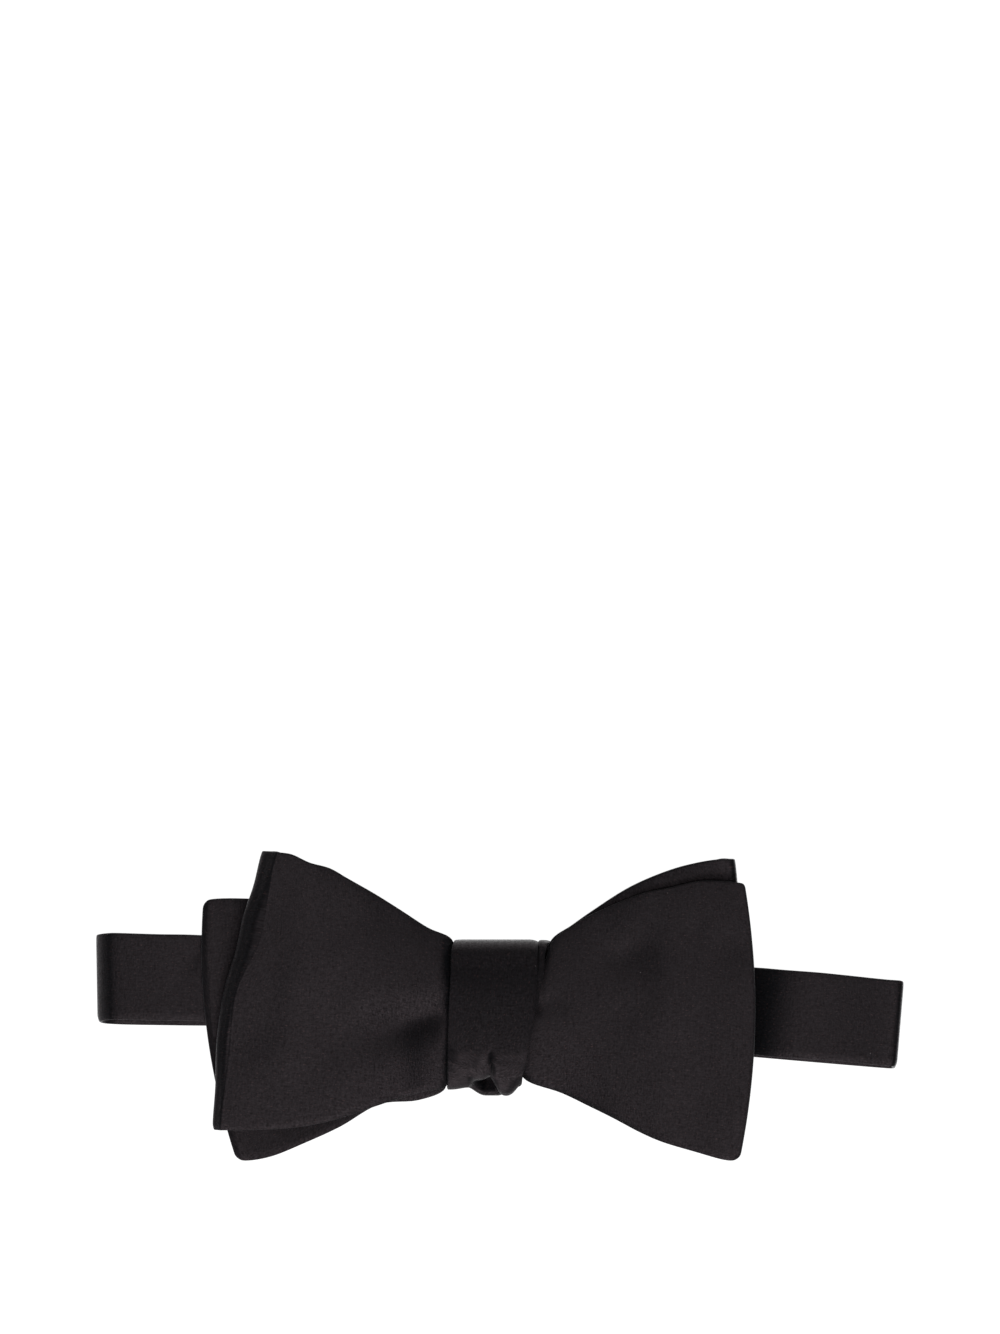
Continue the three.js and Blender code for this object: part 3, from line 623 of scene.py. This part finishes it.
def rear_blade():
    """The bow behind as one strip: left wing, waist, right wing, its fold, and the layer behind it."""
    tables = (REAR_BLADE_LEFT, REAR_BLADE_WAIST, REAR_BLADE_RIGHT, REAR_BLADE_BEHIND)
    left, waist, right, behind = (sections(rows) for rows in tables)
    fold = half_turn(right[-1], behind[0], RIGHT_FOLD_OUT, SQUARE_TURN)
    rows = np.concatenate([left, waist, right, fold, behind])

    def shape(place, along, across):
        place[..., 2] -= pleat_depth(place, PINCH) * PINCH_REAR
        return place

    thickness = settings().blade_cloth / MM
    along = places(rows, BLADE_STEPS, thickness=thickness, corners=REAR_CORNERS)
    at = strip(rows, shape=shape)
    return cloth("rear_blade_silk", at, along, REAR_COLUMNS, thickness, corners=REAR_CORNERS)


def neck_band():
    """The whole neck band, flattened to a loop with a fold at its left and its right end."""
    front, back = sections(BAND_FRONT_RUN), sections(BAND_BACK_RUN)
    right_end = half_turn(front[-1], back[0], BAND_RIGHT_OUT, SQUARE_TURN)
    left_end = half_turn(front[0], back[-1], BAND_LEFT_OUT, SOFT_TURN)[::-1]
    rows = np.concatenate([front, right_end, back, left_end])
    front_end = (len(front) - 1) / len(rows)
    thickness = settings().band_cloth / MM

    def shape(place, along, across):
        push = sum(pleat_depth(place, pleat) for pleat in BAND_PLEATS)
        place[..., 2] -= np.where(along <= front_end, push, 0)
        place[..., 2] = np.maximum(place[..., 2], thickness / 2)
        return place

    along = places(rows, BAND_STEPS, closed=True)
    return cloth("neck_band_silk", strip(rows, True, shape), along, BAND_COLUMNS, thickness, closed=True)


def oval_point(degrees, outwards):
    """A point of the knot's oval at an angle from its top, moved outwards."""
    angle = np.radians(degrees)
    up, out = np.cos(angle), np.sin(angle)
    power = np.where(out > 0, KNOT_FRONT_SQUARENESS, KNOT_BACK_SQUARENESS)
    size = (np.abs(up) ** power + np.abs(out) ** power) ** (1 / power)
    y = KNOT_Y + (KNOT_HALF_HEIGHT + outwards) * up / size
    z = KNOT_Z + (KNOT_HALF_DEPTH + outwards) * out / size
    return y, z


def wrap_edge(travel, column):
    """The wrap's left or right edge after so many degrees of travel."""
    table = np.array(WRAP_WIDTHS, float)
    after = np.clip(np.searchsorted(table[:, 0], travel), 1, len(table) - 1)
    low, high = table[after - 1], table[after]
    part = smoothstep(travel, low[..., 0], high[..., 0])
    return low[..., column] + (high[..., column] - low[..., column]) * part


def inner_edge_rise(x, travel):
    """How far the inner turn's edge stands out beside the outer turn."""
    when = smoothstep(travel, *INNER_EDGE_COMES) - smoothstep(travel, *INNER_EDGE_GOES)
    return INNER_EDGE_RISE * when * smoothstep(x, INNER_EDGE_FROM, INNER_EDGE_TO)


def pocket_share(x, travel):
    """How much of the pocket there is at one place of the wrap, from none to all of it."""
    comes = smoothstep(travel, POCKET_STARTS, POCKET_STARTS + POCKET_FADE)
    goes = smoothstep(travel, POCKET_ENDS - POCKET_FADE, POCKET_ENDS)
    shifted = x - POCKET_LEAN * (travel - POCKET_MIDDLE)
    return comes * (1 - goes) * smoothstep(x, *POCKET_LEFT) * (1 - smoothstep(shifted, *POCKET_RIGHT))


def knot_wrap():
    """The narrow stretch, wrapped one and a third turns round both waists, with its pleat and its pocket."""
    travelled = WRAP_ROWS[-1][0]
    thickness = settings().wrap_cloth / MM
    profile = np.array([[(0, y, z)] for y, z in POCKET_PROFILE], float)

    def at(along, across):
        travel = along[:, None] * travelled
        left, right = wrap_edge(travel, 1), wrap_edge(travel, 2)
        x = left + (right - left) * across
        y, z = oval_point(WRAP_START - travel, (thickness + WRAP_GAP) * travel / 360)
        outward = np.stack([np.zeros_like(y), y - KNOT_Y, z - KNOT_Z], -1)
        outward = outward / np.linalg.norm(outward, axis=-1, keepdims=True)
        rise = inner_edge_rise(x, travel)
        for there, middle, reach, width, depth in WRAP_DENTS:
            rise = rise - depth * bell((x - middle) / width) * bell((travel - there) / reach)
        place = np.stack(np.broadcast_arrays(x, y, z), -1) + outward * rise[..., None]
        part = (along * travelled - POCKET_STARTS) / (POCKET_ENDS - POCKET_STARTS)
        pocket = curve(profile, False, part) + x[..., None] * np.array([1.0, 0, 0])
        pocket[..., 1] += LIP_FALL * np.minimum(x - LIP_FROM, 0) * smoothstep(part, *LIP_SHARE)[:, None]
        return place + (pocket - place) * pocket_share(x, travel)[..., None]

    travels = [0.0]
    for until, step in WRAP_ROWS:
        travels += list(np.linspace(travels[-1], until, round((until - travels[-1]) / step) + 1)[1:])
    ends = WRAP_END_REACH * rounding(WRAP_CORNER_STEPS) / travelled
    along = np.concatenate([np.array(travels) / travelled, ends, 1 - ends])
    along = np.unique(np.round(along, PLACE_DECIMALS))
    return cloth(
        "knot_wrap_silk", at, along, WRAP_COLUMNS, thickness, corners=WRAP_CORNERS, crowding=WRAP_CROWDING
    )


def node(tree, kind, inputs=(), **values):
    """Adds a node to a material, with its settings and what goes into it: values, or sockets to link."""
    added = tree.nodes.new(kind)
    for name, value in values.items():
        setattr(added, name, value)
    for socket, value in dict(inputs).items():
        if isinstance(value, bpy.types.NodeSocket):
            tree.links.new(value, added.inputs[socket])
        else:
            added.inputs[socket].default_value = value
    return added


def grains(tree, cloth_map, length, width, detail):
    """Noise in the cloth's own plane, with grains this long along it and across it, in metres."""
    scale = {"Vector": cloth_map, "Scale": (1 / length, 1 / width, 1)}
    drawn_out = node(tree, "ShaderNodeMapping", scale).outputs[0]
    noise = {"Vector": drawn_out, "Scale": 1.0, "Detail": detail, "Roughness": GRAIN_ROUGHNESS}
    return node(tree, "ShaderNodeTexNoise", noise).outputs["Fac"]


def silk(name, dullness, shine, fuzz, lint_share):
    """Spun silk, plain weave, dyed black in the piece. Short fibres and uneven yarns break up its shine, so
    it looks matt, with faint slubs, a soft light along turned edges, and lint that clings to it."""
    material = bpy.data.materials.new(name)
    material.use_nodes = True
    tree = material.node_tree
    shader = tree.nodes["Principled BSDF"]
    cloth_map = node(tree, "ShaderNodeUVMap", uv_map="cloth").outputs["UV"]

    height = 0.0
    for length, width, detail, share in WEAVE:
        summed = {0: grains(tree, cloth_map, length, width, detail), 1: share, 2: height}
        height = node(tree, "ShaderNodeMath", summed, operation="MULTIPLY_ADD").outputs[0]
    weave = {"Value": height, "From Min": WEAVE_LOW, "From Max": WEAVE_HIGH}

    # The silk's colour is darker at the weave's low places and lighter at its high ones: painted shade
    # between the yarns and painted light on their tops.
    depth = node(tree, "ShaderNodeMapRange", {**weave, "To Min": DARKEST, "To Max": LIGHTEST}).outputs[0]
    dye = {0: settings().silk_colour, "Scale": depth}
    dyed = node(tree, "ShaderNodeVectorMath", dye, operation="SCALE").outputs[0]
    fibres = {"Value": grains(tree, cloth_map, *FIBRES), **FIBRES_SHOW}
    flecks = node(tree, "ShaderNodeMapRange", fibres).outputs[0]
    brown = {"Factor": flecks, 6: dyed, 7: (*linear("#3b2c2c"), 1)}
    flecked = node(tree, "ShaderNodeMix", brown, data_type="RGBA").outputs[2]
    # Lint: specks of about 0.3 mm, few and far between
    cells = node(tree, "ShaderNodeTexVoronoi", {"Vector": cloth_map, "Scale": 1 / LINT_SPACING})
    chance = node(tree, "ShaderNodeSeparateXYZ", {"Vector": cells.outputs["Color"]}).outputs[0]
    nearness = {0: cells.outputs["Distance"], 1: LINT_RADIUS}
    near = node(tree, "ShaderNodeMath", nearness, operation="LESS_THAN").outputs[0]
    chosen = node(tree, "ShaderNodeMath", {0: chance, 1: lint_share}, operation="LESS_THAN").outputs[0]
    lint = node(tree, "ShaderNodeMath", {0: near, 1: chosen}, operation="MULTIPLY").outputs[0]
    grey = {"Factor": lint, 6: flecked, 7: (*linear("#4a4648"), 1)}
    colour = node(tree, "ShaderNodeMix", grey, data_type="RGBA").outputs[2]
    tree.links.new(colour, shader.inputs["Base Color"])

    spread = {"To Min": dullness + DULLNESS_SPREAD, "To Max": dullness - DULLNESS_SPREAD}
    dull = node(tree, "ShaderNodeMapRange", {**weave, **spread}).outputs[0]
    tree.links.new(dull, shader.inputs["Roughness"])
    shader.inputs["IOR"].default_value = SILK_IOR
    shader.inputs["Specular IOR Level"].default_value = shine
    shader.inputs["Specular Tint"].default_value = (*linear("#ffe7ef"), 1)
    # Fibres along the cloth spread a light to both sides of them, so the tangent is turned to lie across it.
    shader.inputs["Anisotropic"].default_value = 0.85
    shader.inputs["Anisotropic Rotation"].default_value = 0.25
    along = node(tree, "ShaderNodeTangent", direction_type="UV_MAP", uv_map="cloth").outputs[0]
    tree.links.new(along, shader.inputs["Tangent"])
    shader.inputs["Sheen Weight"].default_value = fuzz
    shader.inputs["Sheen Roughness"].default_value = 0.35
    shader.inputs["Sheen Tint"].default_value = (*linear("#c9ccd6"), 1)
    bump = node(tree, "ShaderNodeBump", {"Height": height, "Strength": 0.5, "Distance": 0.07 * MM})
    tree.links.new(bump.outputs[0], shader.inputs["Normal"])
    return material


def dress(piece, material, replaced):
    """Gives a piece its material, ties it to the body that it moves with, and hides the CAD part that it
    replaces.
    """
    piece.data.materials.append(material)
    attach(piece, BODY)
    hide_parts(replaced)
    return piece


class BOWTIE_OT_front_blade(Operator):
    """Makes the bow in front: the right wing, the waist, and the left wing with its fold"""

    bl_idname = "bowtie.front_blade"
    bl_label = "Front blade"

    def execute(self, context):
        material = silk("spun_silk_blade_front", **FLAT_SILK)
        piece = dress(front_blade(), material, "front_blade")
        return {"FINISHED"}


class BOWTIE_OT_rear_blade(Operator):
    """Makes the bow behind, which shows at the edges of the front one"""

    bl_idname = "bowtie.rear_blade"
    bl_label = "Rear blade"

    def execute(self, context):
        material = silk("spun_silk_blade_rear", **FLAT_SILK)
        piece = dress(rear_blade(), material, "rear_blade")
        return {"FINISHED"}


class BOWTIE_OT_knot_wrap(Operator):
    """Makes the narrow stretch that is wrapped round both waists"""

    bl_idname = "bowtie.knot_wrap"
    bl_label = "Knot wrap"

    def execute(self, context):
        material = silk("spun_silk_wrap", **PULLED_SILK)
        piece = dress(knot_wrap(), material, "knot_wrap")
        return {"FINISHED"}


class BOWTIE_OT_neck_band(Operator):
    """Makes the neck band, laid flat as a closed loop"""

    bl_idname = "bowtie.neck_band"
    bl_label = "Neck band"

    def execute(self, context):
        material = silk("spun_silk_band", **FLAT_SILK)
        piece = dress(neck_band(), material, "neck_band")
        return {"FINISHED"}


class BOWTIE_OT_stage(Operator):
    """Makes the white table, the soft light and the camera above it"""

    bl_idname = "bowtie.stage"
    bl_label = "Stage"

    def execute(self, context):
        scene = context.scene
        scene.view_settings.view_transform = "Standard"
        mesh = bpy.data.meshes.new("table_top")
        signs = ((-1, -1), (1, -1), (1, 1), (-1, 1))
        corners = [(x * TABLE_HALF_SIDE, y * TABLE_HALF_SIDE, -TABLE_DROP) for x, y in signs]
        mesh.from_pydata(corners, [], [(0, 1, 2, 3)])
        table = bpy.data.objects.new("table_top", mesh)
        scene.collection.objects.link(table)
        # White laminate, pressed smooth. It glows, so that no shadow shows on it. Its colour is grey, so that
        # it throws little light back up at the cloth.
        paint = bpy.data.materials.new("white_laminate")
        paint.use_nodes = True
        shader = paint.node_tree.nodes["Principled BSDF"]
        shader.inputs["Base Color"].default_value = (*settings().floor_colour, 1)
        shader.inputs["Roughness"].default_value = 0.6
        shader.inputs["Emission Color"].default_value = (1, 1, 1, 1)
        shader.inputs["Emission Strength"].default_value = TABLE_GLOW
        mesh.materials.append(paint)

        world = bpy.data.worlds.new("studio")
        world.use_nodes = True
        background = world.node_tree.nodes["Background"]
        background.inputs["Color"].default_value = (1, 1, 1, 1)
        background.inputs["Strength"].default_value = WORLD_GLOW
        scene.world = world

        for name, place, power in (
            ("key", KEY_PLACE, settings().key_power),
            ("fill", FILL_PLACE, FILL_POWER),
            ("back", BACK_PLACE, BACK_POWER),
        ):
            light = bpy.data.lights.new(name, "AREA")
            light.size = LIGHT_SIZE
            light.energy = power
            lamp = bpy.data.objects.new(name, light)
            lamp.location = place
            lamp.rotation_euler = (-Vector(place)).to_track_quat("-Z", "Y").to_euler()
            scene.collection.objects.link(lamp)

        camera = bpy.data.cameras.new("overhead")
        camera.sensor_width = SENSOR_WIDTH
        camera.lens = SENSOR_WIDTH * (EYE[2] - AIM_HEIGHT) / FRAME_HEIGHT
        camera.clip_end = CLIP_END
        eye = bpy.data.objects.new("overhead", camera)
        eye.location = EYE
        scene.collection.objects.link(eye)
        scene.camera = eye
        return {"FINISHED"}


class BOWTIE_PT_panel(Panel):
    bl_label = "Bow tie"
    bl_idname = "BOWTIE_PT_panel"
    bl_space_type = "VIEW_3D"
    bl_region_type = "UI"
    bl_category = "Bow tie"

    def draw(self, context):
        for operator in OPERATORS:
            self.layout.operator(operator.bl_idname)
        for name in BowTieSettings.__annotations__:
            self.layout.prop(context.scene.bow_tie, name)


OPERATORS = (
    BOWTIE_OT_neck_band,
    BOWTIE_OT_rear_blade,
    BOWTIE_OT_front_blade,
    BOWTIE_OT_knot_wrap,
    BOWTIE_OT_stage,
)
CLASSES = (BowTieSettings, *OPERATORS, BOWTIE_PT_panel)


def register():
    for each in CLASSES:
        bpy.utils.register_class(each)
    bpy.types.Scene.bow_tie = PointerProperty(type=BowTieSettings)


def unregister():
    del bpy.types.Scene.bow_tie
    for each in reversed(CLASSES):
        bpy.utils.unregister_class(each)


def main():
    register()
    bpy.ops.bowtie.neck_band()
    bpy.ops.bowtie.rear_blade()
    bpy.ops.bowtie.front_blade()
    bpy.ops.bowtie.knot_wrap()
    bpy.ops.bowtie.stage()


if __name__ == "__main__":
    main()
